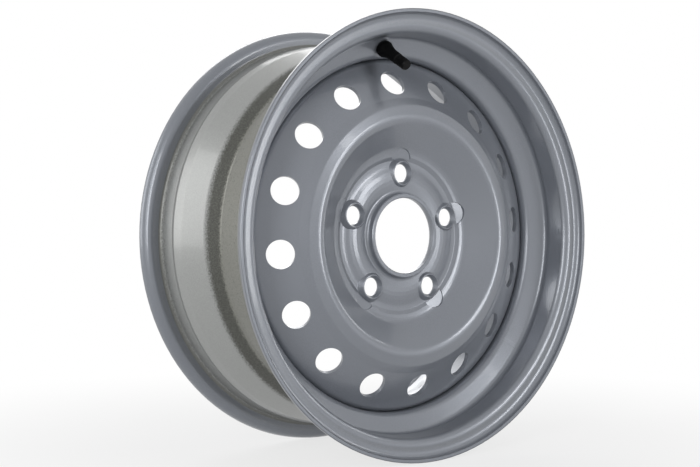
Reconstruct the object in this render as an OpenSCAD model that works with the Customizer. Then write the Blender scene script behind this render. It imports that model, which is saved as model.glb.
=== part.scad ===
// Pressed steel car wheel, 6J x 15, with five bolt holes and a snap-in tyre valve.
// The wheel's axis lies along Y, its outboard face looks along -Y and +Z is up.
// The origin is the centre of the rim. Lengths are millimetres and angles degrees.
// Sections are drawn as radius against height, and height grows outboard.

/* [Rim] */
// Diameter of the bead seats
rim_diameter = 380.2; // [376:0.1:384]
// Width between the inner faces of the two flanges
rim_width = 152.4; // [150:0.1:158]
// Thickness of the rim's sheet
rim_sheet = 3.5; // [2.8:0.1:3.8]
// Height of a flange over its bead seat
flange_height = 17.3; // [16.5:0.1:18.5]
// Radius of the flange's curl, on the tyre's side
lip_radius = 9.5; // [8.5:0.1:10]
// How far the curl turns past its highest line
lip_turn = 4; // [2:1:10]
// Radius between flange and bead seat, on the tyre's side
root_radius = 4; // [3.5:0.1:6]
// Slope of the bead seats
seat_taper = 5; // [4:0.5:6]
// Distance of each safety hump from its flange
hump_distance = 21; // [20:0.5:22]
// Height of the humps over the sloping seat
hump_height = 1.1; // [0.8:0.1:1.4]
// Depth of the well under the bead seats
well_depth = 19.8; // [18:0.1:21]
// Slope of the well's outboard wall, from upright
wall_slope = 27; // [22:1:30]
// Distance of the well's outboard corner from the outboard flange
well_distance = 35.9; // [35:0.1:37]
// Distance of the inboard shoulder's corner from the inboard flange
shoulder_distance = 32; // [29:0.5:34]
// Width of the well's flat bottom
well_width = 44.3; // [43:0.1:46]
// Rise of the short slope behind the well
ledge_rise = 8.6; // [7.5:0.1:9.5]
// Length of the short slope behind the well, along the axis
ledge_run = 14; // [12:0.5:16]

/* [Disc] */
// Thickness of the disc's sheet
disc_sheet = 4; // [3.5:0.1:4.5]
// Distance of the mounting face from the middle of the rim
wheel_offset = 36; // [34:0.5:38]
// Diameter of the centre bore
bore_diameter = 71.1; // [66:0.1:73]
// Height of the bore's collar over the contact ring
collar_height = 9; // [8:0.1:11]
// Radius of the foot of the step round the hub pad
pad_radius = 71; // [69:0.5:73]
// Width of the flat ring that bears on the hub
contact_width = 5; // [4:0.5:6]
// Rise of the crowned pad over its contact ring
pad_crown = 3.2; // [2.5:0.1:3.8]
// Height of the step round the hub pad
step_height = 2.4; // [1.8:0.1:3.2]
// Radius of the disc's crown, its most outboard line
crown_radius = 108.4; // [106:0.1:110]
// Height of the crown over the contact ring
crown_height = 26; // [24:0.1:27]
// Width of the crown, out to its groove
crown_width = 13.1; // [11:0.1:14]
// Drop of the sheet across the groove outside the crown
groove_drop = 4.6; // [3:0.1:7]
// Slope of the band that holds the vents
band_slope = 29.2; // [27:0.1:31]
// Outboard radius of the bend from vent band to flange
edge_radius = 10; // [8:0.5:12]
// Length of the flange inside the well, past its bend
disc_flange = 28; // [24:0.5:30]
// Depth of the four relief scallops in the flange's edge
scallop_depth = 7; // [5:0.5:9]

/* [Holes] */
// Number of vents
vent_count = 16; // [12:1:18]
// Diameter of the vents
vent_diameter = 25.6; // [22:0.1:27]
// Radius of the circle of vents
vent_circle = 143.3; // [142:0.1:145]
// Angle of the first vent from the top, clockwise from outboard
vent_start = -6.3; // [-12:0.1:12]
// Number of wheel bolts
bolt_count = 5; // [4:1:5]
// Angle of the first bolt from the top, clockwise from outboard
bolt_start = 0.7; // [-5:0.1:5]
// Diameter of the bolt circle
bolt_circle = 118; // [112:0.5:120]
// Diameter of the bolt holes
bolt_hole = 16.9; // [15:0.1:17.5]
// Length of a bolt hole's straight wall
bolt_land = 1.6; // [1.4:0.1:2]
// Included angle of the bolt seats
seat_angle = 60; // [56:1:64]
// Depth of a bolt seat
seat_depth = 3.7; // [3.2:0.1:4.2]
// Slope of the raised rim round a bolt seat
boss_slope = 56; // [50:1:62]
// Width of the pocket that runs outwards from each bolt hole
pocket_width = 22; // [20:0.1:24]
// Radius at which the pockets end
pocket_reach = 82.5; // [81:0.1:84]
// Slope of the pockets' walls, from upright
pocket_draft = 20; // [15:1:30]

/* [Welds] */
// Number of welds between disc and rim
weld_count = 4; // [4:1:4]
// Angle that each weld covers
weld_arc = 48; // [40:1:54]
// Leg of the weld beads
weld_leg = 3.6; // [3:0.1:3.8]

/* [Valve] */
// Angle of the valve from the top, clockwise from outboard
valve_angle = -8.4; // [-20:0.1:20]
// Depth under the bead seat at which the valve's axis passes the rim
valve_drop = 13.6; // [12.6:0.1:14.2]
// Tilt of the valve from the wheel's axis
valve_tilt = 33; // [31:0.5:34]
// Diameter of the valve hole in the rim
valve_hole = 11.5; // [11.3:0.1:11.7]
// Diameter of the flat spot pressed round the valve hole
valve_spot = 21; // [20:0.5:22]
// Depth of the flat spot
valve_spot_depth = 0.6; // [0.4:0.1:0.8]
// Diameter of the rubber bulb
bulb_diameter = 16.2; // [15:0.1:17]
// Length of the rubber bulb
bulb_length = 12; // [10:0.5:13]
// Diameter of the rubber sleeve
sleeve_diameter = 10.6; // [9.8:0.1:11]
// Distance of the sleeve's end from the rim
sleeve_length = 24.2; // [23:0.1:24.6]
// Diameter of the rubber foot inside the tyre
foot_diameter = 19.4; // [18:0.1:20]
// Thickness of the rubber foot
foot_height = 4.6; // [4:0.1:5.2]
// Outer diameter of the brass stem's thread
stem_diameter = 7.7; // [7.5:0.1:7.9]
// Distance of the stem's end from the rim
stem_length = 33.8; // [33.4:0.1:35]
// Diameter of the thread for the valve core
core_diameter = 5.2; // [5.1:0.1:5.4]
// Diameter of the core's pin
pin_diameter = 1.5; // [1.3:0.1:1.6]
// Wire of the core's spring
spring_wire = 0.3; // [0.25:0.01:0.32]
// Turns of the core's spring
spring_turns = 7; // [5:1:8]

/* [Valve cap] */
// Outer diameter of the cap
cap_diameter = 10.2; // [9.6:0.1:10.6]
// Thickness of the cap's end
cap_end = 1.8; // [1.5:0.1:2.2]
// Length of the cap's thread over the stem
cap_grip = 9.3; // [8:0.1:9.3]
// Number of grip ribs round the cap
cap_ribs = 20; // [16:1:24]
// Thickness of the cap's sealing ring
seal_thickness = 1; // [0.8:0.1:1.2]

/* [Hidden] */
$fn = 96;

// Largest angle between two points of a bend
bend_step = 9;
// Rounding of the sheets' cut edges
cut_edge = 0.7;
// Length by which a cutting shape overshoots
overshoot = 1;

// Sheet sections: a path is a list of [radius, height, bend radius]
function unit(v) = v / norm(v);
function left_of(v) = [-v[1], v[0]];
function point(corner) = [corner[0], corner[1]];
function turned(v, a) = [v[0] * cos(a) - v[1] * sin(a), v[0] * sin(a) + v[1] * cos(a)];

// Moves an inner corner sideways so that both of its lines shift by d to the left
function shifted(a, b, c, d) =
    let (u = left_of(unit(b - a)), v = left_of(unit(c - b)), m = unit(u + v))
    b + m * d / (m * u);

// Points of the arc that rounds corner b with radius r
function bend(a, b, c, r) =
    let (
        u = unit(b - a),
        v = unit(c - b),
        side = cross(u, v) > 0 ? 1 : -1,
        angle = acos(min(1, u * v)),
        centre = b - u * r * tan(angle / 2) + left_of(u) * side * r,
        steps = max(1, ceil(angle / bend_step))
    )
    r <= 0 ? [b] :
        [for (i = [0:steps]) centre - turned(left_of(u) * side * r, side * angle * i / steps)];

// One face of a sheet: the path moved by d to the left, with its inner corners bent
function face(path, d) =
    let (
        last = len(path) - 1,
        corners = [
            for (i = [0:last])
                i == 0 ? point(path[0]) + left_of(unit(point(path[1]) - point(path[0]))) * d :
                i == last ? point(path[last])
                    + left_of(unit(point(path[last]) - point(path[last - 1]))) * d :
                shifted(point(path[i - 1]), point(path[i]), point(path[i + 1]), d)
        ]
    )
    [
        for (i = [0:last])
            let (side = i == 0 || i == last ? 0 :
                 cross(point(path[i]) - point(path[i - 1]),
                       point(path[i + 1]) - point(path[i])) > 0 ? 1 : -1)
            each i == 0 || i == last ? [corners[i]] :
                bend(corners[i - 1], corners[i], corners[i + 1], path[i][2] - side * d)
    ];

function reversed(list) = [for (i = [len(list) - 1:-1:0]) list[i]];

// Rounded end of a sheet: its two corners, each bevelled by the size of the cut edge
function sheet_end(inner, from, to, outer) =
    [from + unit(inner - from) * cut_edge, from + unit(to - from) * cut_edge,
     to + unit(from - to) * cut_edge, to + unit(outer - to) * cut_edge];

// Closed outline of a bent sheet of thickness t, to the right of its path
function sheet(path, t) =
    let (
        near = face(path, 0),
        far = face(path, -t),
        n = len(near) - 1,
        m = len(far) - 1
    )
    concat(
        sheet_end(far[1], far[0], near[0], near[1]),
        [for (i = [1:n - 1]) near[i]],
        sheet_end(near[n - 1], near[n], far[m], far[m - 1]),
        [for (i = [m - 1:-1:1]) far[i]]
    );

// Turns a part drawn along the wheel's axis into the wheel's frame
module on_axle() {
    rotate([90, 0, 0]) children();
}

// Turns children about the axle to a wheel angle, from the top and clockwise from outboard
module at_angle(a) {
    rotate([0, 0, 90 - a]) children();
}

seat_radius = rim_diameter / 2;
half_width = rim_width / 2;
flange_radius = seat_radius + flange_height;
well_radius = seat_radius - well_depth;
well_inner = well_radius - rim_sheet;
well_front = half_width - well_distance;
well_back = well_front - well_width;
taper = tan(seat_taper);

// Tangent length of the flange's curl, and its straight end
curl_tangent = lip_radius * tan((90 + lip_turn) / 2);
lip_land = 0.3;

// Half the foot of a safety hump along the seat
hump_foot = 3.4;
// Radius of the humps and of the bends at the well
hump_bend = 5;
well_bend = 5;
wall_bend = 9;
ledge_bend = 10;
hump_line = seat_radius - hump_distance * taper + hump_height;
// Distance from a hump's top to the bend beside it
hump_shoulder = 5;
wall_top = seat_radius - (hump_distance + hump_shoulder) * taper;

// Corners of one bead seat on the tyre's side, from its lip to its hump
function bead_seat() = [
    let (corner = [flange_radius - lip_radius + curl_tangent, half_width])
    let (end = corner + (curl_tangent + lip_land) * [-sin(lip_turn), cos(lip_turn)])
    [end[0], end[1], 0],
    [flange_radius - lip_radius + curl_tangent, half_width, lip_radius],
    [seat_radius, half_width, root_radius],
    [seat_radius - (hump_distance - hump_foot) * taper, half_width - hump_distance + hump_foot, hump_bend],
    [hump_line, half_width - hump_distance, hump_bend]
];

// Mirrors a list of corners to the inboard half
function inboard(corners) = [for (c = reversed(corners)) [c[0], -c[1], c[2]]];

rim_path = concat(
    bead_seat(),
    [
        [wall_top, well_front + (wall_top - well_radius) * tan(wall_slope), wall_bend],
        [well_radius, well_front, well_bend],
        [well_radius, well_back, well_bend],
        [well_radius + ledge_rise, well_back - ledge_run, ledge_bend],
        [seat_radius - shoulder_distance * taper, -half_width + shoulder_distance, ledge_bend]
    ],
    inboard(bead_seat())
);

// Radius and height of the rim's inner face where the valve passes it
valve_radius = seat_radius - valve_drop;
valve_height = well_front + (valve_radius - well_radius) * tan(wall_slope) + rim_sheet / cos(wall_slope);

// Places a part drawn along the valve's axis, with its zero on the rim's inner face
module at_valve() {
    on_axle() at_angle(valve_angle) translate([valve_radius, 0, valve_height])
        rotate([0, -valve_tilt, 0]) children();
}

// Rolled and welded rim: the flat spot is pressed into the well's outboard wall
module rim() {
    color([0.56, 0.57, 0.59]) difference() {
        union() {
            on_axle() rotate_extrude($fn = 180) polygon(sheet(rim_path, rim_sheet));
            at_valve() translate([0, 0, -rim_sheet - valve_spot_depth])
                cylinder(d = valve_spot, h = rim_sheet / 2 + valve_spot_depth);
        }
        at_valve() translate([0, 0, -valve_spot_depth]) cylinder(d = valve_spot, h = rim_sheet + overshoot);
        at_valve() translate([0, 0, -rim_sheet - valve_spot_depth - overshoot])
            cylinder(d = valve_hole, h = rim_sheet + valve_spot_depth + 2 * overshoot);
    }
}

bore_radius = bore_diameter / 2;
collar_radius = bore_radius + disc_sheet;
contact_face = wheel_offset + disc_sheet;
collar_top = contact_face + collar_height;
crown_top = contact_face + crown_height;
disc_radius = well_inner;

// Bends of the disc, on its outboard face
collar_bend = 3.5;
pad_bend = 28;
contact_bend = 12;
step_bend = 1.6;
ridge_bend = 2;
bowl_bend = 14;
crown_bend = 10;
groove_bend = 6;
// Rise of the pad at the collar over the contact ring, and of the bowl's gentle start
pad_root = 1.4;
bowl_start = 0.6;
// Radial lengths of the step and of the bowl's gentle start
step_run = 3.8;
bowl_run = 5;
// Fall of the crown's top towards its groove, and the groove's radial length
crown_fall = 3.6;
groove_run = 7;
groove_foot = [crown_radius + crown_width + groove_run, crown_top - crown_fall - groove_drop];
// Height of the corner between vent band and flange
edge_back = groove_foot[1] - (disc_radius - groove_foot[0]) * tan(band_slope);
flange_end = edge_back - edge_radius * tan((90 - band_slope) / 2) - disc_flange;

disc_path = [
    [collar_radius, collar_top, 0],
    [collar_radius, contact_face + pad_root, collar_bend],
    [(collar_radius + pad_radius) / 2, contact_face + pad_crown, pad_bend],
    [pad_radius - contact_width, contact_face, contact_bend],
    [pad_radius, contact_face, step_bend],
    [pad_radius + step_run, contact_face + step_height, ridge_bend],
    [pad_radius + step_run + bowl_run, contact_face + step_height + bowl_start, bowl_bend],
    [crown_radius, crown_top, crown_bend],
    [crown_radius + crown_width, crown_top - crown_fall, groove_bend],
    [groove_foot[0], groove_foot[1], groove_bend],
    [disc_radius, edge_back, edge_radius],
    [disc_radius, flange_end, 0]
];

// Height of the vent band's outboard face at a radius
function band_height(r) = groove_foot[1] - (r - groove_foot[0]) * tan(band_slope);

// Everything behind the disc's outboard face between two radii, down to a height
module behind_face(low, inner, outer) {
    front = [for (p = face(disc_path, 0)) if (p[0] > inner && p[0] < outer) p];
    last = front[len(front) - 1];
    rotate_extrude($fn = 180) polygon(concat(
        [[inner, low], [inner, front[0][1]]], front, [[last[0], low]]
    ));
}

bolt_radius = bolt_circle / 2;
hole_radius = bolt_hole / 2;
// Height of a seat's narrow end over the contact ring
seat_foot = 1.2;
seat_low = contact_face + seat_foot;
seat_high = seat_low + seat_depth;
seat_wide = hole_radius + seat_depth * tan(seat_angle / 2);
// Flat and rounding of the boss's crest, and depth of its foot in the pad
boss_flat = 0.1;
boss_bend = 1.2;
boss_root = 1;
// Slope of the conical hollow behind each bolt seat
hollow_slope = 45;
// Rise of the pockets' floor outwards
pocket_rise = 12;
// The pockets' floor starts just over the contact ring, and their back just over its back
pocket_relief = 0.3;
pocket_floor = contact_face + pocket_relief;
pocket_back = wheel_offset + pocket_relief;

// Trough of a given floor width that rises outwards through the step, with sloping walls
module trough(width, floor, depth, reach) {
    flare = depth * tan(pocket_draft);
    start = pad_radius - contact_width / 2;
    run = reach - width / 2 - start;
    translate([start, 0, floor]) rotate([0, -pocket_rise, 0]) {
        translate([run, 0, 0]) cylinder(d1 = width, d2 = width + 2 * flare, h = depth);
        rotate([90, 0, 90]) linear_extrude(run)
            polygon([
                [-width / 2, 0],
                [width / 2, 0],
                [width / 2 + flare, depth],
                [-width / 2 - flare, depth]
            ]);
    }
}

// Children at each bolt hole's angle
module each_bolt() {
    for (i = [0:bolt_count - 1]) at_angle(bolt_start + i * 360 / bolt_count) children();
}

// Wall of the pressed pockets, trimmed to lie behind the disc's outboard face
module pocket_walls() {
    intersection() {
        behind_face(pocket_back, pad_radius - contact_width / 2, crown_radius);
        each_bolt()
            trough(pocket_width + 2 * disc_sheet, pocket_back, crown_height, pocket_reach + disc_sheet);
    }
}

// Raised rim of a bolt seat, with a rounded crest and a slope down into the pad
module bolt_boss() {
    crest = [seat_wide + boss_flat, seat_high - boss_bend];
    slope_top = crest + boss_bend * [sin(boss_slope), cos(boss_slope)];
    root = contact_face - boss_root;
    translate([bolt_radius, 0, 0]) rotate_extrude() polygon(concat(
        [[0, root], [slope_top[0] + (slope_top[1] - root) / tan(boss_slope), root]],
        [for (i = [5:-1:0]) let (a = boss_slope * i / 5) crest + boss_bend * [sin(a), cos(a)]],
        [[0, seat_high]]
    ));
}

// Bolt hole with its conical seat, and the conical hollow behind it
module bolt_opening() {
    flare = tan(seat_angle / 2);
    land_low = seat_low - bolt_land;
    hollow = land_low - wheel_offset + overshoot;
    translate([bolt_radius, 0, 0]) {
        translate([0, 0, land_low]) cylinder(r = hole_radius, h = bolt_land);
        translate([0, 0, seat_low])
            cylinder(r1 = hole_radius, r2 = seat_wide + overshoot * flare, h = seat_depth + overshoot);
        translate([0, 0, land_low - hollow])
            cylinder(r1 = hole_radius + hollow * tan(hollow_slope), r2 = hole_radius, h = hollow);
    }
}

// Vent, square to the sloping band
module vent() {
    reach = 2 * disc_sheet;
    translate([vent_circle, 0, band_height(vent_circle)]) rotate([0, band_slope, 0])
        cylinder(d = vent_diameter, h = 2 * reach, center = true);
}

// Relief scallop between two welds, cut into the flange's inboard edge
module scallop() {
    scallop_radius = 70;
    reach = 3 * disc_sheet;
    translate([disc_radius - reach, 0, flange_end + scallop_depth - scallop_radius])
        rotate([0, 90, 0]) cylinder(r = scallop_radius, h = 2 * reach, $fn = 180);
}

// Pressed disc with collar, crowned pad, bowl, vent band and flange
module disc() {
    color([0.50, 0.52, 0.55]) on_axle() difference() {
        union() {
            difference() {
                union() {
                    rotate_extrude($fn = 180) polygon(sheet(disc_path, disc_sheet));
                    pocket_walls();
                }
                each_bolt() trough(pocket_width, pocket_floor, crown_height, pocket_reach);
            }
            each_bolt() bolt_boss();
        }
        each_bolt() bolt_opening();
        for (i = [0:vent_count - 1]) at_angle(vent_start + i * 360 / vent_count) vent();
        for (i = [0:weld_count - 1]) at_angle(i * 360 / weld_count) scallop();
    }
}

// Fillet welds along the flange's inboard edge, between the scallops
module weld_beads() {
    color([0.45, 0.46, 0.48]) on_axle()
        for (i = [0:weld_count - 1])
            at_angle((i + 0.5) * 360 / weld_count + weld_arc / 2)
                rotate_extrude(angle = weld_arc, $fn = 180) intersection() {
                    translate([disc_radius, flange_end]) circle(r = weld_leg);
                    translate([disc_radius - weld_leg, flange_end - weld_leg]) square(weld_leg);
                }
}

// The valve is drawn along its own axis, with height zero on the rim's inner face
stem_radius = stem_diameter / 2;
core_radius = core_diameter / 2;
sleeve_radius = sleeve_diameter / 2;
bulb_radius = bulb_diameter / 2;
foot_radius = foot_diameter / 2;
hole_grip = valve_hole / 2;
wall_outer = -valve_spot_depth;
wall_inner = -rim_sheet - valve_spot_depth;
// Radius of the stem inside the rubber, and its foot's radius and thickness
shank_radius = 3.1;
shank_foot = 5;
shank_foot_height = 2;
// Air passage through the stem below the core
air_radius = 1.95;
// Rounding of the rubber's edges
rubber_edge = 0.8;
// Swell of the bulb: depth of its rounding and of its shoulder, under its largest radius
bulb_round = 0.2;
bulb_shoulder = 1.2;
sleeve_root = 0.3;

// Rubber body, moulded on the stem and snapped into the rim's hole
module valve_body() {
    color([0.03, 0.03, 0.03]) at_valve() rotate_extrude() polygon([
        [shank_radius, sleeve_length],
        [sleeve_radius - rubber_edge, sleeve_length],
        [sleeve_radius, sleeve_length - rubber_edge],
        [sleeve_radius, bulb_length + 4 * rubber_edge],
        [sleeve_radius + sleeve_root, bulb_length],
        [bulb_radius - bulb_shoulder, bulb_length * 0.6],
        [bulb_radius - bulb_round, bulb_length * 0.38],
        [bulb_radius, bulb_length * 0.25],
        [bulb_radius - bulb_round, bulb_length * 0.1],
        [bulb_radius - rubber_edge, wall_outer],
        [hole_grip, wall_outer],
        [hole_grip, wall_inner],
        [foot_radius - rubber_edge, wall_inner],
        [foot_radius, wall_inner - rubber_edge],
        [foot_radius, wall_inner - foot_height + 2 * rubber_edge],
        [foot_radius - 2 * rubber_edge, wall_inner - foot_height],
        [shank_foot, wall_inner - foot_height],
        [shank_foot, wall_inner - foot_height + shank_foot_height],
        [shank_radius, wall_inner - foot_height + shank_foot_height]
    ]);
}

// Places along the core, all counted down from the stem's end
core_top = stem_length - 0.6;
plug_length = 5;
plug_end = core_top - plug_length;
gasket_length = 1.6;
gasket_end = plug_end - gasket_length;
barrel_length = 9;
barrel_end = gasket_end - barrel_length;
barrel_radius = 1.75;
barrel_bore = 1.3;
barrel_floor = 0.9;
pin_radius = pin_diameter / 2;
// Running gap round the pin
pin_gap = 0.1;
pin_travel = 1.4;
cup_depth = 0.9;
seal_depth = 0.7;
collar_depth = 0.5;
thread_gap = 0.1;

// Brass stem with an outer thread for the cap and an inner one for the core
module valve_stem() {
    color([0.78, 0.62, 0.30]) at_valve() rotate_extrude() polygon([
        [core_radius, stem_length],
        [stem_radius - cut_edge, stem_length],
        [stem_radius, stem_length - cut_edge],
        [stem_radius, sleeve_length],
        [shank_radius, sleeve_length],
        [shank_radius, wall_inner - foot_height + shank_foot_height],
        [shank_foot, wall_inner - foot_height + shank_foot_height],
        [shank_foot, wall_inner - foot_height],
        [air_radius, wall_inner - foot_height],
        [air_radius, gasket_end],
        [core_radius, plug_end],
        [core_radius, stem_length]
    ]);
}

// Threaded plug that holds the core in the stem, with two flats for its key
module core_plug() {
    flat_width = 1.9;
    flat_depth = 2.2;
    color([0.80, 0.66, 0.36]) at_valve() difference() {
        translate([0, 0, plug_end]) cylinder(r = core_radius - thread_gap, h = plug_length);
        translate([0, 0, plug_end - overshoot])
            cylinder(r = pin_radius + pin_gap, h = plug_length + 2 * overshoot, $fn = 32);
        for (side = [-1, 1])
            translate([side * (flat_width / 2 + core_radius), 0, core_top])
                cube([2 * core_radius, 3 * core_radius, 2 * flat_depth], center = true);
    }
}

// Conical gasket that seals the core against the stem
module core_gasket() {
    color([0.75, 0.20, 0.15]) at_valve() difference() {
        translate([0, 0, gasket_end])
            cylinder(r1 = air_radius, r2 = core_radius, h = gasket_length);
        translate([0, 0, gasket_end - overshoot])
            cylinder(r = barrel_radius, h = gasket_length + 2 * overshoot, $fn = 32);
    }
}

// Brass barrel under the plug, which carries the gasket and houses the spring
module core_barrel() {
    color([0.80, 0.66, 0.36]) at_valve() difference() {
        translate([0, 0, barrel_end]) cylinder(r = barrel_radius, h = plug_end - barrel_end, $fn = 32);
        translate([0, 0, barrel_end + barrel_floor])
            cylinder(r = barrel_bore, h = plug_end - barrel_end, $fn = 32);
        translate([0, 0, barrel_end - overshoot])
            cylinder(r = pin_radius + pin_gap, h = barrel_floor + 2 * overshoot, $fn = 32);
    }
}

// Height of the pin's collar, which the spring pushes outwards
collar_low = plug_end - collar_depth;

// Pin that opens the valve when it is pressed
module core_pin() {
    head_height = 0.7;
    color([0.82, 0.74, 0.52]) at_valve() {
        translate([0, 0, barrel_end - seal_depth - cup_depth])
            cylinder(
                r = pin_radius,
                h = core_top - head_height - barrel_end + seal_depth + cup_depth,
                $fn = 32
            );
        translate([0, 0, core_top - head_height])
            cylinder(r1 = pin_radius, r2 = pin_radius - 0.15, h = head_height, $fn = 32);
        translate([0, 0, collar_low - pin_gap])
            cylinder(r = barrel_bore - pin_gap, h = collar_depth, $fn = 32);
    }
}

// Brass cup crimped on the pin's inner end
module core_cup() {
    color([0.80, 0.66, 0.36]) at_valve() difference() {
        translate([0, 0, barrel_end - seal_depth - cup_depth])
            cylinder(r = barrel_radius - pin_gap, h = cup_depth, $fn = 32);
        translate([0, 0, barrel_end - seal_depth - cup_depth - overshoot])
            cylinder(r = pin_radius, h = cup_depth + 2 * overshoot, $fn = 32);
    }
}

// Rubber ring in the cup, which closes against the barrel's end
module core_seal() {
    color([0.08, 0.08, 0.08]) at_valve() difference() {
        translate([0, 0, barrel_end - seal_depth])
            cylinder(r = barrel_radius - pin_gap, h = seal_depth, $fn = 32);
        translate([0, 0, barrel_end - seal_depth - overshoot])
            cylinder(r = pin_radius, h = seal_depth + 2 * overshoot, $fn = 32);
    }
}

// Helix of the core's spring, from the barrel's floor to the pin's collar
spring_low = barrel_end + barrel_floor + spring_wire / 2;
spring_high = collar_low - pin_gap - spring_wire / 2;
spring_radius = (pin_radius + barrel_bore) / 2;
spring_sides = 6;
spring_steps = 16;

// Ring of points round the wire at turn t
function wire_ring(t) = [
    for (j = [0:spring_sides - 1])
        let (
            around = 360 * j / spring_sides,
            out = spring_radius + spring_wire / 2 * cos(around),
            rise = (spring_high - spring_low) * t / spring_turns,
            high = spring_low + rise + spring_wire / 2 * sin(around)
        )
        [out * cos(360 * t), out * sin(360 * t), high]
];

// Coil spring that holds the pin closed
module core_spring() {
    count = spring_turns * spring_steps;
    rings = [for (i = [0:count]) each wire_ring(i / spring_steps)];
    ends = [
        [for (j = [0:spring_sides - 1]) j],
        [for (j = [spring_sides - 1:-1:0]) count * spring_sides + j]
    ];
    sides = [
        for (i = [0:count - 1], j = [0:spring_sides - 1])
            let (k = (j + 1) % spring_sides)
            [i * spring_sides + j, (i + 1) * spring_sides + j,
             (i + 1) * spring_sides + k, i * spring_sides + k]
    ];
    color([0.75, 0.76, 0.78]) at_valve()
        polyhedron(points = rings, faces = concat(ends, sides), convexity = 6);
}

cap_radius = cap_diameter / 2;
cap_bore = stem_radius + thread_gap;
cap_open = stem_length - cap_grip;
// Play of the sealing ring under the cap's end
seal_play = 0.05;
cap_roof = stem_length + seal_thickness + seal_play;
cap_top = cap_roof + cap_end;

// Ribbed plastic cap, screwed on the stem
module valve_cap() {
    rib_radius = 0.45;
    skirt = 1.6;
    color([0.05, 0.05, 0.05]) at_valve() difference() {
        rotate_extrude() polygon([
            [cap_bore, cap_open],
            [cap_radius - rubber_edge / 2, cap_open],
            [cap_radius, cap_open + rubber_edge / 2],
            [cap_radius, cap_top - 2 * rubber_edge],
            [cap_radius - rubber_edge, cap_top],
            [0, cap_top],
            [0, cap_roof],
            [cap_bore, cap_roof]
        ]);
        for (i = [0:cap_ribs - 1])
            rotate([0, 0, (i + 0.5) * 360 / cap_ribs])
                translate([cap_radius + rib_radius / 2, 0, cap_open + skirt])
                    cylinder(r = rib_radius, h = cap_top, $fn = 16);
    }
}

// Soft ring at the cap's end, which seals on the stem
module cap_seal() {
    color([0.10, 0.10, 0.10]) at_valve() difference() {
        translate([0, 0, stem_length]) cylinder(r = stem_radius - cut_edge, h = seal_thickness);
        translate([0, 0, stem_length - overshoot])
            cylinder(r = core_radius, h = seal_thickness + 2 * overshoot);
    }
}

rim();
disc();
weld_beads();
valve_body();
valve_stem();
core_plug();
core_gasket();
core_barrel();
core_pin();
core_cup();
core_seal();
core_spring();
valve_cap();
cap_seal();
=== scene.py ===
import math

import bmesh
import bpy
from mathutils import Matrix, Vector


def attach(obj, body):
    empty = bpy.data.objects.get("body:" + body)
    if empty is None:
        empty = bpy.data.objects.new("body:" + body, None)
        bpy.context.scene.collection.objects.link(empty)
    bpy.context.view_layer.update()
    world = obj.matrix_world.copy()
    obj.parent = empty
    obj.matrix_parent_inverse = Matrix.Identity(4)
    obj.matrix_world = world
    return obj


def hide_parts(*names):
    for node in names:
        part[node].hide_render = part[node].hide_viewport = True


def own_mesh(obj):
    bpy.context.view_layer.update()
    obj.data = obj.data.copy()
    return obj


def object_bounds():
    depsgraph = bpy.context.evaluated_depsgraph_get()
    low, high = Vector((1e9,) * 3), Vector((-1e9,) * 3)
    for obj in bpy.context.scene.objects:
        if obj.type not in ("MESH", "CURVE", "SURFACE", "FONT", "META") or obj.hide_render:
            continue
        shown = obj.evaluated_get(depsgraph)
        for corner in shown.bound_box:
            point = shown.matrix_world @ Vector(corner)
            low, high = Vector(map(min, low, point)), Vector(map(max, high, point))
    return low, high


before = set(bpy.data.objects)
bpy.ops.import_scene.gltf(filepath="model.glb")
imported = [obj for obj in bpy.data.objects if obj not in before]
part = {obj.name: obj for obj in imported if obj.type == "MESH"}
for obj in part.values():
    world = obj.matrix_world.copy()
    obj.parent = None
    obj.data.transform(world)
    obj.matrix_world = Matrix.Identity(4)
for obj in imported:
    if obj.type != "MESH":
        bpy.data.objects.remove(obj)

cad_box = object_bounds()
scene = bpy.context.scene


# Camera
# A short telephoto lens at hub height, to the left of the wheel and in front
# of it, as the photograph was taken.
sensor_width = 36
lens_length = 63.315
lens_place = (-0.74854, -0.93383, 0.00892)
lens_bearing = -37.656
lens_dip = 0.342
camera_data = bpy.data.cameras.new("camera")
camera_data.sensor_width = sensor_width
camera_data.lens = lens_length
camera = bpy.data.objects.new("camera", camera_data)
camera.location = lens_place
camera.rotation_euler = (math.radians(90 - lens_dip), 0, math.radians(lens_bearing))
scene.collection.objects.link(camera)
scene.camera = camera
scene.view_settings.view_transform = "Standard"


# Studio
# A pale floor under the wheel, a white room for what the lens and the paint's
# gloss see, and soft boxes for the light. Only the wheel's shadow marks the floor.
floor_reach = 12
floor_white = (0.86, 0.86, 0.86, 1)
studio_white = (1, 1, 1, 1)
shadow_core = 0.2
shadow_reach = 0.75
shadow_share = 0.28
room_light = 0.26
white_strength = 1.0
wheel_foot = cad_box[0].z


class Wire:
    """One socket of a material, on which sums are written as plain expressions."""

    def __init__(self, finish, socket):
        self.finish = finish
        self.socket = socket

    def maths(self, operation, *values):
        return self.finish.node("ShaderNodeMath", {"operation": operation}, *values)

    def __add__(self, other):
        return self.maths("ADD", self, other)

    def __sub__(self, other):
        return self.maths("SUBTRACT", self, other)

    def __rsub__(self, other):
        return self.maths("SUBTRACT", other, self)

    def __mul__(self, other):
        return self.maths("MULTIPLY", self, other)

    def __abs__(self):
        return self.maths("ABSOLUTE", self)

    __radd__ = __add__
    __rmul__ = __mul__

    def between(self, low, high):
        """0 where the value is at low, 1 where it is at high, with soft ends."""
        settings = {"interpolation_type": "SMOOTHSTEP", "clamp": True}
        return self.finish.node("ShaderNodeMapRange", settings, self, low, high)


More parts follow.
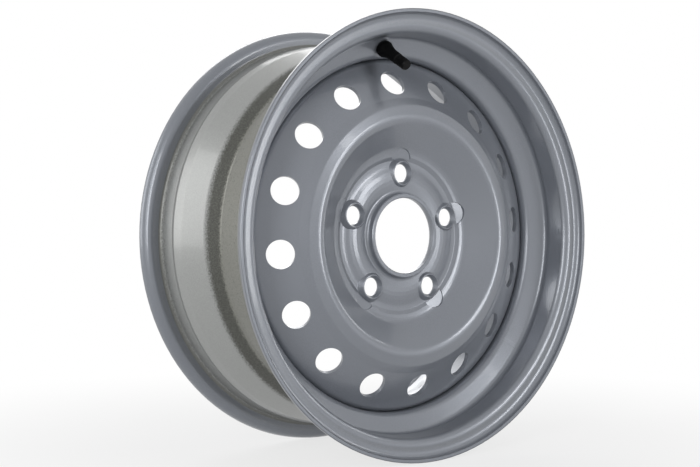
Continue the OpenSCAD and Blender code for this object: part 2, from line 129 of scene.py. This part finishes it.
class Finish:
    """A material, made node by node."""

    def __init__(self, name, world=None):
        self.owner = world or bpy.data.materials.new(name)
        self.owner.use_nodes = True
        self.tree = self.owner.node_tree
        self.tree.nodes.clear()

    def node(self, kind, settings, *values, output=None, **named):
        """A node with its settings, and its sockets by their order or their names."""
        made = self.tree.nodes.new(kind)
        for key, value in settings.items():
            setattr(made, key, value)
        places = [s for s in made.inputs if s.enabled]
        pairs = list(zip(places, values))
        pairs += [(made.inputs[key.replace("_", " ")], v) for key, v in named.items()]
        for place, value in pairs:
            if isinstance(value, Wire):
                self.tree.links.new(value.socket, place)
            else:
                place.default_value = value
        results = [s for s in made.outputs if s.enabled and output in (None, s.name)]
        return Wire(self, results[0]) if results else None

    def place(self):
        """Where a point of the piece lies, in metres in the wheel's frame."""
        return self.node("ShaderNodeTexCoord", {}, output="Object")

    def mix(self, share, first, second):
        """A colour between two others."""
        settings = {"data_type": "RGBA"}
        return self.node("ShaderNodeMix", settings, share, first, second)

    def grain(self, place, size, detail=2.0, rough=0.5):
        """Noise whose cells are about size wide, from 0 to 1."""
        return self.node("ShaderNodeTexNoise", {}, Vector=place, Scale=1 / size,
                         Detail=detail, Roughness=rough, output="Fac")

    def finish_with(self, shader, kind="ShaderNodeOutputMaterial"):
        self.node(kind, {}, shader)
        return self.owner


def sees_white(finish):
    """1 for rays from the lens, from gloss and through glass, 0 for the light's own."""
    lens, gloss, glass = [
        finish.node("ShaderNodeLightPath", {}, output=f"Is {kind} Ray")
        for kind in ("Camera", "Glossy", "Transmission")]
    return lens + gloss + glass


def soft_box(name, bearing, height, distance, size, brightness):
    """A rectangular light; bearing 0 is outboard of the wheel, 90 to its right."""
    lamp = bpy.data.lights.new(name, "AREA")
    lamp.shape = "RECTANGLE"
    lamp.size, lamp.size_y = size
    lamp.energy = brightness * math.pi * size[0] * size[1]
    holder = bpy.data.objects.new(name, lamp)
    scene.collection.objects.link(holder)
    turn = math.radians(bearing)
    holder.location = (distance * math.sin(turn), -distance * math.cos(turn), height)
    aim = -Vector(holder.location)
    holder.rotation_euler = aim.to_track_quat("-Z", "Y").to_euler()


floor_corners = [(x * floor_reach, y * floor_reach, wheel_foot)
                 for x, y in [(-1, -1), (1, -1), (1, 1), (-1, 1)]]
floor_mesh = bpy.data.meshes.new("floor")
floor_mesh.from_pydata(floor_corners, [], [(0, 1, 2, 3)])
floor = bpy.data.objects.new("floor", floor_mesh)
scene.collection.objects.link(floor)

floor_paint = Finish("floor_paint")
from_wheel = floor_paint.node("ShaderNodeVectorMath", {"operation": "LENGTH"},
                              floor_paint.place(), output="Value")
glow = 1 - (1 - from_wheel.between(shadow_core, shadow_reach)) * shadow_share
shaded = floor_paint.node("ShaderNodeBsdfDiffuse", {}, floor_white)
plain = floor_paint.node("ShaderNodeEmission", {}, studio_white, white_strength)
floor_mesh.materials.append(floor_paint.finish_with(floor_paint.node(
    "ShaderNodeMixShader", {}, sees_white(floor_paint) * glow, shaded, plain)))

room = Finish("room", bpy.data.worlds.new("room"))
scene.world = room.owner
lit = room.node("ShaderNodeBackground", {}, studio_white, room_light)
seen = room.node("ShaderNodeBackground", {}, studio_white, white_strength)
room.finish_with(room.node("ShaderNodeMixShader", {}, sees_white(room), lit, seen),
                 "ShaderNodeOutputWorld")

soft_box("key_light", bearing=22, height=0.35, distance=2.3, size=(0.6, 1.5),
         brightness=6.6)
soft_box("left_strip", bearing=-58, height=0.45, distance=2.3, size=(0.7, 1.7),
         brightness=5.4)
soft_box("barrel_light", bearing=-122, height=0.6, distance=2.3, size=(1.0, 1.9),
         brightness=2.3)
soft_box("right_strip", bearing=84, height=0.4, distance=2.3, size=(0.75, 1.6),
         brightness=2.6)
soft_box("back_light", bearing=150, height=1.1, distance=2.2, size=(1.8, 1.6),
         brightness=2.4)


# Rim
# One strip of steel sheet, rolled to a hoop, butt-welded, flared and rolled to its
# profile. Painted blue grey outboard, and silver grey, thinner and drier on the
# tyre's side; painted shade darkens the well's wall and the flanges' roots there.
enamel_tones = ((0.196, 0.210, 0.238, 1), (0.222, 0.237, 0.268, 1))
cloud_tone = (0.214, 0.229, 0.258, 1)
sprayed_tones = ((0.296, 0.303, 0.296, 1), (0.346, 0.354, 0.345, 1))
# painted shade: a near-black tone laid on the well's wall and in the flanges' roots
painted_shade_tones = ((0.040, 0.041, 0.034, 1), (0.090, 0.092, 0.079, 1))
thin_tones = ((0.165, 0.166, 0.142, 1), (0.205, 0.206, 0.182, 1))
peel_cell = 0.0032
dust_cell = 0.0008
cloud_cell = 0.07
rolled_line = 0.0016
peel_height = 0.8
dust_height = 0.12
line_height = 0.1
enamel_rough = 0.27
cloud_rough = 0.05
speckle_cell = 0.0011
speckle_height = 0.35
speckle_rough = 0.07
dry_rough = 0.02
ragged_cell = 0.0016
ragged_depth = 0.006
tyre_paint_top = (0.196, 0.200)
wall_foot = (0.1704, 0.1716)
wall_top = (0.1762, 0.1792)
root_foot = (0.1892, 0.1912)
root_top = (0.1945, 0.1985)
root_side = (0.066, 0.071)
root_shade_share = 0.75
seam_bearing = 128
seam_width = 0.0045
seam_height = 0.6
seam_rough = 0.08
scarf_cell = 0.0006
scarf_height = 0.9


def lies_at(finish, place):
    """Distance from the axle, along it, and a unit direction away from it."""
    across = finish.node("ShaderNodeVectorMath", {"operation": "MULTIPLY"}, place,
                         (1, 0, 1))
    away = finish.node("ShaderNodeVectorMath", {"operation": "LENGTH"}, across,
                       output="Value")
    outwards = finish.node("ShaderNodeVectorMath", {"operation": "NORMALIZE"}, across)
    along = finish.node("ShaderNodeSeparateXYZ", {}, place, output="Y")
    return away, along, outwards


def dot(finish, first, second):
    return finish.node("ShaderNodeVectorMath", {"operation": "DOT_PRODUCT"}, first,
                       second, output="Value")


def rolling_lines(finish, away, along):
    """Faint lines that run round the wheel, as the rolls and the die leave them."""
    turned = finish.node("ShaderNodeCombineXYZ", {}, away, along, 0.0)
    return finish.grain(turned, rolled_line, 3.0, 0.6)


def dry_spray_and_shade(finish, ragged, along, speckle):
    """The thin paint on the tyre's side, with painted shade on the well's wall and roots.
    """
    dry, painted_shade, thin = [finish.mix(speckle, *tones)
                         for tones in (sprayed_tones, painted_shade_tones, thin_tones)]
    # painted shade on the well's wall, over the speckle of the thin spray
    dry = finish.mix(ragged.between(*wall_top), painted_shade, dry)
    dry = finish.mix(ragged.between(*wall_foot), thin, dry)
    # painted shade in the deep corners at the flanges' roots
    root = ragged.between(*root_foot) * (1 - ragged.between(*root_top))
    return finish.mix(root * abs(along).between(*root_side) * root_shade_share, dry, painted_shade)


def butt_weld(finish, place):
    """1 on the scarfed weld that closes the hoop, 0 on the rest of it."""
    turn = math.radians(seam_bearing)
    across_seam = (math.cos(turn), 0, -math.sin(turn))
    to_seam = (math.sin(turn), 0, math.cos(turn))
    offset = abs(dot(finish, place, across_seam))
    seam = 1 - offset.between(seam_width * 0.35, seam_width * 0.6)
    return seam * dot(finish, place, to_seam).between(0.05, 0.1)


def enamel(name, tyre_side=False):
    """Semi-gloss paint over rolled sheet; with tyre_side, the rim's dry paint and painted
    shade.
    """
    finish = Finish(name)
    place = finish.place()
    away, along, outwards = lies_at(finish, place)
    peel = finish.grain(place, peel_cell, 1.0)
    dust = finish.grain(place, dust_cell)
    cloud = finish.grain(place, cloud_cell, 3.0)
    lines = rolling_lines(finish, away, along)
    flake = finish.mix(dust.between(0.35, 0.65), *enamel_tones)
    colour = finish.mix(cloud.between(0.3, 0.7), flake, cloud_tone)
    rough = enamel_rough + cloud * cloud_rough
    height = peel * peel_height + dust * dust_height + lines * line_height
    if tyre_side:
        normal = finish.node("ShaderNodeTexCoord", {}, output="Normal")
        outer = dot(finish, normal, outwards).between(-0.1, 0.3)
        outer = outer * (1 - away.between(*tyre_paint_top))
        speckle = finish.grain(place, speckle_cell, 3.0, 0.7).between(0.36, 0.64)
        wander = finish.grain(place, ragged_cell, 3.0, 0.8) - 0.5
        ragged = away + wander * ragged_depth
        colour = finish.mix(outer, colour, dry_spray_and_shade(finish, ragged, along, speckle))
        seam = butt_weld(finish, place)
        scarfed = finish.grain(place, scarf_cell, 3.0, 0.7)
        rough = rough + outer * (dry_rough + speckle * speckle_rough)
        rough = rough + seam * seam_rough
        height = height + outer * speckle * speckle_height
        height = height + seam * (seam_height + scarfed * scarf_height)
    bump = finish.node("ShaderNodeBump", {}, Strength=0.09, Distance=0.0005,
                       Height=height)
    paint = finish.node("ShaderNodeBsdfPrincipled", {}, Base_Color=colour,
                        Metallic=0.35, Roughness=rough, Normal=bump, Coat_Weight=0.4,
                        Coat_Roughness=0.08)
    return finish.finish_with(paint)


def finish_piece(node, material):
    part[node].material_slots[0].material = material


finish_piece("rim", enamel("rim_enamel", tyre_side=True))


# Disc
# One round of thicker steel sheet, blanked, drawn and pierced in a row of dies, so
# that faint die rings run round it. Welded into the rim before both are painted.
finish_piece("disc", enamel("disc_enamel"))


# Weld beads
# Four runs of steel wire, melted into the corner between the disc's flange and the
# rim's well. Each ripple is one pool that set behind the arc, under the same paint.
bead_radius = 0.1668
bead_start = -0.002528
bead_leg = 0.0036
bead_sink = 0.1
bead_rise = 0.06
bead_runs = 4
bead_arc = 48
ripple_pitch = 0.0014
pool_width = 0.93
pool_length = 1.15
least_swell = 0.93
swell_seed = 4
pore_cell = 0.0009
pore_rough = 0.14
weld_rough = 0.34
soot_cell = 0.006
soot_tones = ((0.150, 0.160, 0.178, 1), (0.196, 0.208, 0.230, 1))


class Branch:
    """A geometry node tree, made node by node."""

    def __init__(self, name, sizes):
        self.tree = bpy.data.node_groups.new(name, "GeometryNodeTree")
        face = self.tree.interface
        face.new_socket("Geometry", in_out="INPUT", socket_type="NodeSocketGeometry")
        for key, kind in sizes.items():
            face.new_socket(key, in_out="INPUT", socket_type=kind)
        face.new_socket("Geometry", in_out="OUTPUT", socket_type="NodeSocketGeometry")
        self.given = self.tree.nodes.new("NodeGroupInput")

    def size(self, key):
        return self.given.outputs[key]

    def node(self, kind, settings, **named):
        """A node; a name such as Value__1 is the second socket called Value."""
        made = self.tree.nodes.new(kind)
        for key, value in settings.items():
            setattr(made, key, value)
        for key, value in named.items():
            name, _, index = key.partition("__")
            places = [s for s in made.inputs
                      if s.enabled and s.name == name.replace("_", " ")]
            place = places[int(index or 0)]
            if isinstance(value, bpy.types.NodeSocket):
                self.tree.links.new(value, place)
            else:
                place.default_value = value
        return [s for s in made.outputs if s.enabled][0]

    def maths(self, operation, *values):
        named = {f"Value__{index}": value for index, value in enumerate(values)}
        return self.node("ShaderNodeMath", {"operation": operation}, **named)

    def grow(self, name, geometry, values, rides_on):
        """Runs the tree and returns its result as a plain mesh object."""
        end = self.tree.nodes.new("NodeGroupOutput")
        whole = self.node("GeometryNodeRealizeInstances", {}, Geometry=geometry)
        whole = self.node("GeometryNodeSetMaterial", {}, Geometry=whole,
                          Material=self.size("Finish"))
        self.tree.links.new(whole, end.inputs["Geometry"])
        seed = bpy.data.objects.new(name + "_seed", bpy.data.meshes.new(name + "_seed"))
        scene.collection.objects.link(seed)
        growth = seed.modifiers.new("growth", "NODES")
        growth.node_group = self.tree
        keys = {s.name: s.identifier for s in self.tree.interface.items_tree
                if s.in_out == "INPUT"}
        for key, value in values.items():
            growth[keys[key]] = value
        ready = seed.evaluated_get(bpy.context.evaluated_depsgraph_get())
        mesh = bpy.data.meshes.new_from_object(ready)
        mesh.name = name
        seed.modifiers.remove(growth)
        bpy.data.objects.remove(seed)
        made = bpy.data.objects.new(name, mesh)
        scene.collection.objects.link(made)
        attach(made, rides_on)
        return made


def weld_metal(name):
    finish = Finish(name)
    place = finish.place()
    pores = finish.grain(place, pore_cell, 3.0, 0.7)
    soot = finish.grain(place, soot_cell, 3.0)
    colour = finish.mix(soot.between(0.35, 0.65), *soot_tones)
    bump = finish.node("ShaderNodeBump", {}, Strength=0.25, Distance=0.0003,
                       Height=pores + soot)
    paint = finish.node("ShaderNodeBsdfPrincipled", {}, Base_Color=colour,
                        Metallic=0.35, Roughness=weld_rough + pores * pore_rough,
                        Normal=bump, Coat_Weight=0.3, Coat_Roughness=0.15)
    return finish.finish_with(paint)


beads = Branch("weld_runs", {
    "Radius": "NodeSocketFloat", "Start": "NodeSocketFloat", "Leg": "NodeSocketFloat",
    "Arc": "NodeSocketFloat", "Runs": "NodeSocketInt", "Pitch": "NodeSocketFloat",
    "Finish": "NodeSocketMaterial"})
run = beads.node("GeometryNodeCurveArc", {"mode": "RADIUS"}, Resolution=64,
                 Radius=beads.size("Radius"), Sweep_Angle=beads.size("Arc"))
runs = beads.node("GeometryNodeDuplicateElements", {"domain": "SPLINE"}, Geometry=run,
                  Amount=beads.size("Runs"))
run_number = runs.node.outputs["Duplicate Index"]
slice_angle = beads.maths("DIVIDE", math.tau, beads.size("Runs"))
gap = beads.maths("SUBTRACT", slice_angle, beads.size("Arc"))
half_gap = beads.maths("MULTIPLY", gap, 0.5)
turn = beads.maths("MULTIPLY_ADD", run_number, slice_angle, half_gap)
where = beads.node("GeometryNodeInputPosition", {})
where = beads.node("ShaderNodeVectorRotate", {"rotation_type": "Z_AXIS"}, Vector=where,
                   Angle=turn)
where = beads.node("ShaderNodeVectorRotate", {"rotation_type": "X_AXIS"}, Vector=where,
                   Angle=math.pi / 2)
shift = beads.node("ShaderNodeCombineXYZ", {}, Y=beads.size("Start"))
where = beads.node("ShaderNodeVectorMath", {"operation": "ADD"}, Vector__0=where,
                   Vector__1=shift)
laid = beads.node("GeometryNodeSetPosition", {}, Geometry=runs, Position=where)
spots = beads.node("GeometryNodeCurveToPoints", {"mode": "LENGTH"}, Curve=laid,
                   Length=beads.size("Pitch"))
facing = beads.node("FunctionNodeAlignRotationToVector", {"axis": "Z"},
                    Vector=spots.node.outputs["Tangent"])
pool = beads.node("GeometryNodeMeshUVSphere", {}, Segments=12, Rings=6, Radius=1.0)
wide = beads.maths("MULTIPLY", beads.size("Leg"), pool_width)
long = beads.maths("MULTIPLY", beads.size("Pitch"), pool_length)
swell = beads.node("FunctionNodeRandomValue", {"data_type": "FLOAT"}, Min=least_swell,
                   Max=1.0, Seed=swell_seed)
size = beads.node("ShaderNodeCombineXYZ", {}, X=wide, Y=wide, Z=long)
size = beads.node("ShaderNodeVectorMath", {"operation": "SCALE"}, Vector=size,
                  Scale=swell)
ripples = beads.node("GeometryNodeInstanceOnPoints", {}, Points=spots, Instance=pool,
                     Rotation=facing, Scale=size)
ripples = beads.node("GeometryNodeRealizeInstances", {}, Geometry=ripples)
ripples = beads.node("GeometryNodeSetShadeSmooth", {}, Geometry=ripples)
weld_runs = beads.grow("weld_runs", ripples, {
    "Radius": bead_radius - bead_leg * bead_sink,
    "Start": bead_start + bead_leg * bead_rise, "Leg": bead_leg,
    "Arc": math.radians(bead_arc), "Runs": bead_runs, "Pitch": ripple_pitch,
    "Finish": weld_metal("weld_enamel")}, "wheel")
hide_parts("weld_beads")


# Valve body
# One moulding of black rubber, pulled through the rim's hole until its groove grips
# the sheet. The two halves of its mould leave a fine line down each side.
valve_base = Vector((-0.025784, -0.047387, 0.174607))
valve_axis = Vector((0.079563, -0.838671, -0.538796)).normalized()
valve_side = valve_axis.cross(Vector((0, 0, 1))).normalized()
valve_rise = valve_axis.cross(valve_side)
parting_width = 0.00014
parting_height = 2.5
bloom_cell = 0.006
bloom_rough = 0.1


def from_valve_base(finish, place):
    return finish.node("ShaderNodeVectorMath", {"operation": "SUBTRACT"}, place,
                       valve_base)


def parting_line(finish, place):
    """1 on the plane where the two halves of a mould met, 0 beside it."""
    offset = abs(dot(finish, from_valve_base(finish, place), valve_rise))
    return 1 - offset.between(parting_width * 0.5, parting_width)


def moulded(name, dark, light, rough, seamed=False, cell=0.0009, strength=0.12,
            gloss=0.3):
    """Rubber or plastic with its mould's fine grain and a bloom between two tones."""
    finish = Finish(name)
    place = finish.place()
    height = finish.grain(place, cell, 3.0, 0.6)
    bloom = finish.grain(place, bloom_cell, 3.0)
    colour = finish.mix(bloom.between(0.4, 0.7), (*dark, 1), (*light, 1))
    if seamed:
        height = height + parting_line(finish, place) * parting_height
    bump = finish.node("ShaderNodeBump", {}, Strength=strength, Distance=0.0002,
                       Height=height)
    mass = finish.node("ShaderNodeBsdfPrincipled", {}, Base_Color=colour,
                       Roughness=rough + bloom * bloom_rough, Normal=bump,
                       Specular_IOR_Level=gloss)
    return finish.finish_with(mass)


finish_piece("valve_body", moulded(
    "valve_rubber", (0.0015, 0.0015, 0.0016), (0.003, 0.003, 0.0032), 0.5, seamed=True,
    gloss=0.12))


# Valve stem
# Turned from brass bar: a foot that the rubber is moulded round, a bore for the
# core and a rolled thread, which shows where the cap is screwed up.
thread_pitch = 0.00079375
thread_depth = 0.00045
thread_rows = 8
thread_radius = 0.00385
thread_top = 0.0331
thread_foot = 0.0242
groove_width = 1.2
groove_slope = 2.4
stem_facets = 48
stem_crease = 38
stem_top = 0.0338
lip_radius = 0.00315
shank_radius = 0.0031
foot_radius = 0.005
foot_top = -0.0067
foot_end = -0.0087
air_bore = 0.00195
air_bore_top = 0.0266
core_bore = 0.0026
core_bore_foot = 0.0282
stem_profile = [
    (core_bore, stem_top), (lip_radius, stem_top), "thread",
    (shank_radius, thread_foot), (shank_radius, foot_top), (foot_radius, foot_top),
    (foot_radius, foot_end), (air_bore, foot_end), (air_bore, air_bore_top),
    (core_bore, core_bore_foot)]
thread_height = 2
tarnish_cell = 0.0025
tarnish_rough = 0.16
tool_ring = 0.00012
ring_height = 0.3


def turned_metal(name, dark, light, rough, lines=0.0):
    """Bright metal, with the fine rings that the tool leaves across the axis."""
    finish = Finish(name)
    place = finish.place()
    height = dot(finish, from_valve_base(finish, place), valve_axis)
    along_axis = finish.node("ShaderNodeCombineXYZ", {}, height, 0.0, 0.0)
    rings = finish.grain(along_axis, tool_ring)
    tarnish = finish.grain(place, tarnish_cell, 4.0, 0.6)
    colour = finish.mix(tarnish.between(0.35, 0.75), (*light, 1), (*dark, 1))
    relief = rings * ring_height
    if lines:
        waves = finish.node("ShaderNodeMath", {"operation": "SINE"},
                            height * (math.tau / lines))
        relief = relief + waves * thread_height
    bump = finish.node("ShaderNodeBump", {}, Strength=0.3, Distance=0.0001,
                       Height=relief)
    metal = finish.node("ShaderNodeBsdfPrincipled", {}, Base_Color=colour,
                        Metallic=1.0, Roughness=rough + tarnish * tarnish_rough,
                        Normal=bump)
    return finish.finish_with(metal)


def thread_cut(height, share):
    """Depth of the thread's groove at a height and a share of one turn."""
    phase = (height / thread_pitch - share) % 1
    groove = min(1, max(0, groove_width - groove_slope * abs(phase - 0.5)))
    run_out = min(1, (height - thread_foot) / thread_pitch)
    return thread_depth * groove * run_out


def stem_rows():
    """The stem's rings of corners, round its lip, its thread, its foot and its bore."""
    for row in stem_profile:
        if row != "thread":
            yield [row] * stem_facets
            continue
        steps = round((thread_top - thread_foot) / thread_pitch * thread_rows)
        for step in range(steps + 1):
            height = thread_top + (thread_foot - thread_top) * step / steps
            yield [(thread_radius - thread_cut(height, k / stem_facets), height)
                   for k in range(stem_facets)]


def turned_piece(name, rows, material, rides_on):
    """A closed shell round the valve's axis, through rings of radius and height."""
    corners, sides = [], []
    for row in rows:
        for k, (radius, height) in enumerate(row):
            turn = math.tau * k / len(row)
            out = valve_side * math.cos(turn) + valve_rise * math.sin(turn)
            corners.append(valve_base + valve_axis * height + out * radius)
    for j in range(len(rows)):
        ring = j * stem_facets
        after = (j + 1) % len(rows) * stem_facets
        for k in range(stem_facets):
            beside = (k + 1) % stem_facets
            sides.append((ring + k, ring + beside, after + beside, after + k))
    mesh = bpy.data.meshes.new(name)
    mesh.from_pydata(corners, [], sides)
    shell = bmesh.new()
    shell.from_mesh(mesh)
    bmesh.ops.recalc_face_normals(shell, faces=shell.faces)
    shell.to_mesh(mesh)
    shell.free()
    mesh.shade_smooth()
    mesh.set_sharp_from_angle(angle=math.radians(stem_crease))
    mesh.materials.append(material)
    made = bpy.data.objects.new(name, mesh)
    scene.collection.objects.link(made)
    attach(made, rides_on)
    return made


stem_brass = turned_metal("stem_brass", (0.36, 0.24, 0.09), (0.66, 0.48, 0.20), 0.22)
threaded_stem = turned_piece("threaded_stem", list(stem_rows()), stem_brass, "wheel")
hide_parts("valve_stem")


# Valve core
# Small turned brass pieces round a sprung pin, screwed into the stem: a threaded
# plug, a red plastic cone that seals it, the barrel, the pin and its crimped cup.
core_dark = (0.40, 0.28, 0.10)
core_light = (0.70, 0.52, 0.22)
core_rough = 0.2
plug_thread = 0.0007
core_brass = turned_metal("core_brass", core_dark, core_light, core_rough)
for name in ("core_barrel", "core_pin", "core_cup"):
    finish_piece(name, core_brass)
finish_piece("core_plug", turned_metal(
    "plug_brass", core_dark, core_light, core_rough, lines=plug_thread))
finish_piece("core_gasket", moulded(
    "gasket_plastic", (0.36, 0.035, 0.02), (0.46, 0.055, 0.03), 0.35, cell=0.0004))
finish_piece("core_seal", moulded(
    "seal_rubber", (0.010, 0.010, 0.011), (0.018, 0.018, 0.019), 0.5, cell=0.0003))


# Core spring
# Drawn steel wire, coiled round the pin. It closes the valve, and shortens as the
# pin is pressed in.
spring_foot = 0.01865
spring_top = 0.02745
coil_radius = 0.001025
wire_radius = 0.00015
coil_turns = 7
coil = Branch("spring_coil", {
    "Coil Radius": "NodeSocketFloat", "Wire Radius": "NodeSocketFloat",
    "Length": "NodeSocketFloat", "Turns": "NodeSocketFloat", "Foot": "NodeSocketVector",
    "Tilt": "NodeSocketRotation", "Finish": "NodeSocketMaterial"})
path = coil.node("GeometryNodeCurveSpiral", {}, Resolution=28,
                 Rotations=coil.size("Turns"), Start_Radius=coil.size("Coil Radius"),
                 End_Radius=coil.size("Coil Radius"), Height=coil.size("Length"))
ring = coil.node("GeometryNodeCurvePrimitiveCircle", {"mode": "RADIUS"}, Resolution=10,
                 Radius=coil.size("Wire Radius"))
wire = coil.node("GeometryNodeCurveToMesh", {}, Curve=path, Profile_Curve=ring,
                 Fill_Caps=True)
wire = coil.node("GeometryNodeTransform", {}, Geometry=wire,
                 Translation=coil.size("Foot"), Rotation=coil.size("Tilt"))
wire = coil.node("GeometryNodeSetShadeSmooth", {}, Geometry=wire)
coil_steel = turned_metal("spring_steel", (0.34, 0.34, 0.35), (0.56, 0.56, 0.57), 0.24)
spring_coil = coil.grow("spring_coil", wire, {
    "Coil Radius": coil_radius, "Wire Radius": wire_radius,
    "Length": spring_top - spring_foot - 2 * wire_radius, "Turns": coil_turns,
    "Foot": tuple(valve_base + valve_axis * (spring_foot + wire_radius)),
    "Tilt": tuple(valve_axis.to_track_quat("Z", "Y").to_euler()),
    "Finish": coil_steel}, "wheel")
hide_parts("core_spring")
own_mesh(spring_coil)


# Valve cap
# Moulded from black plastic with ribs for the fingers, and a small rubber ring in
# its end. It screws onto the stem over the core.
finish_piece("valve_cap", moulded(
    "cap_plastic", (0.003, 0.003, 0.0032), (0.006, 0.006, 0.0063), 0.42, cell=0.0005,
    strength=0.08, gloss=0.1))
finish_piece("cap_seal", moulded(
    "cap_rubber", (0.012, 0.012, 0.012), (0.022, 0.022, 0.022), 0.5, cell=0.0003))
